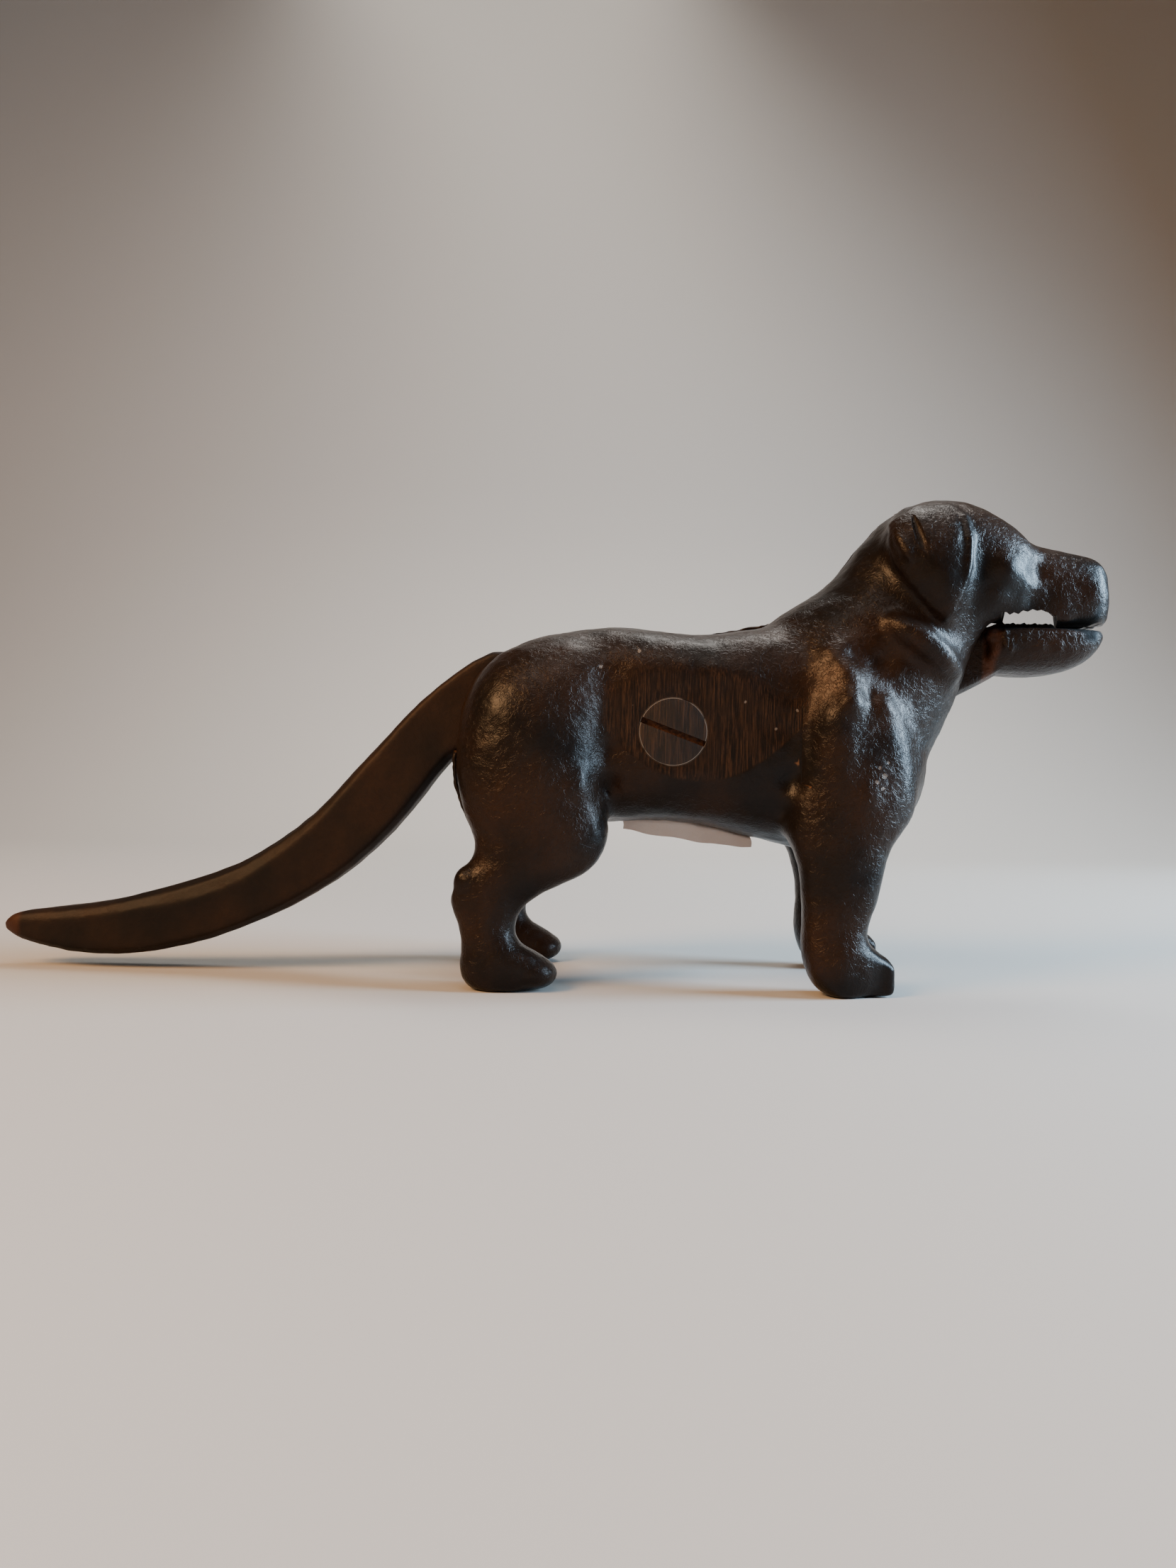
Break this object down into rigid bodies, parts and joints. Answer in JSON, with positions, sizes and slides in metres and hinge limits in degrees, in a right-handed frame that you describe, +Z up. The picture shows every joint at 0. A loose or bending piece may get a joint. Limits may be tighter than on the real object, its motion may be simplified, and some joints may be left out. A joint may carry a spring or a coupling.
{
  "type": "lever nutcracker",
  "caption": "Lever nutcracker cast as a standing dog: lifting the tail lowers the jaw, pressing it down cracks a nut in the mouth.",
  "frame": {"origin": "middle of the whole object's footprint, on the floor under the four paws", "axes": "+X towards the nose, +Y towards the dog's left side, +Z up"},
  "size_m": [0.2762, 0.0608, 0.1216],
  "materials": {
    "japanned_iron": "black-brown japanned, semi-gloss, worn at the edges",
    "rubbed_iron": "black-brown japanned, rubbed to brown on the ridge",
    "screw_steel": "browned, with a rusty slot",
    "dowel_steel": "plain",
    "label_paper": "matt, pinkish beige"
  },
  "bodies": {
    "body": {"right_body_half": "japanned_iron", "left_body_half": "japanned_iron", "pivot_screw": "screw_steel", "head_dowel": "dowel_steel", "chest_dowel": "dowel_steel", "groin_dowel": "dowel_steel", "price_label": "label_paper"},
    "lever": {"tail_and_jaw_lever": "rubbed_iron"}
  },
  "joints": [
    {"name": "jaw_hinge", "type": "hinge", "parent": "body", "child": "lever", "pos_m": [0.02831, 0, 0.0611], "axis": [0, 1, 0], "range_deg": [0, 22]}
  ]
}
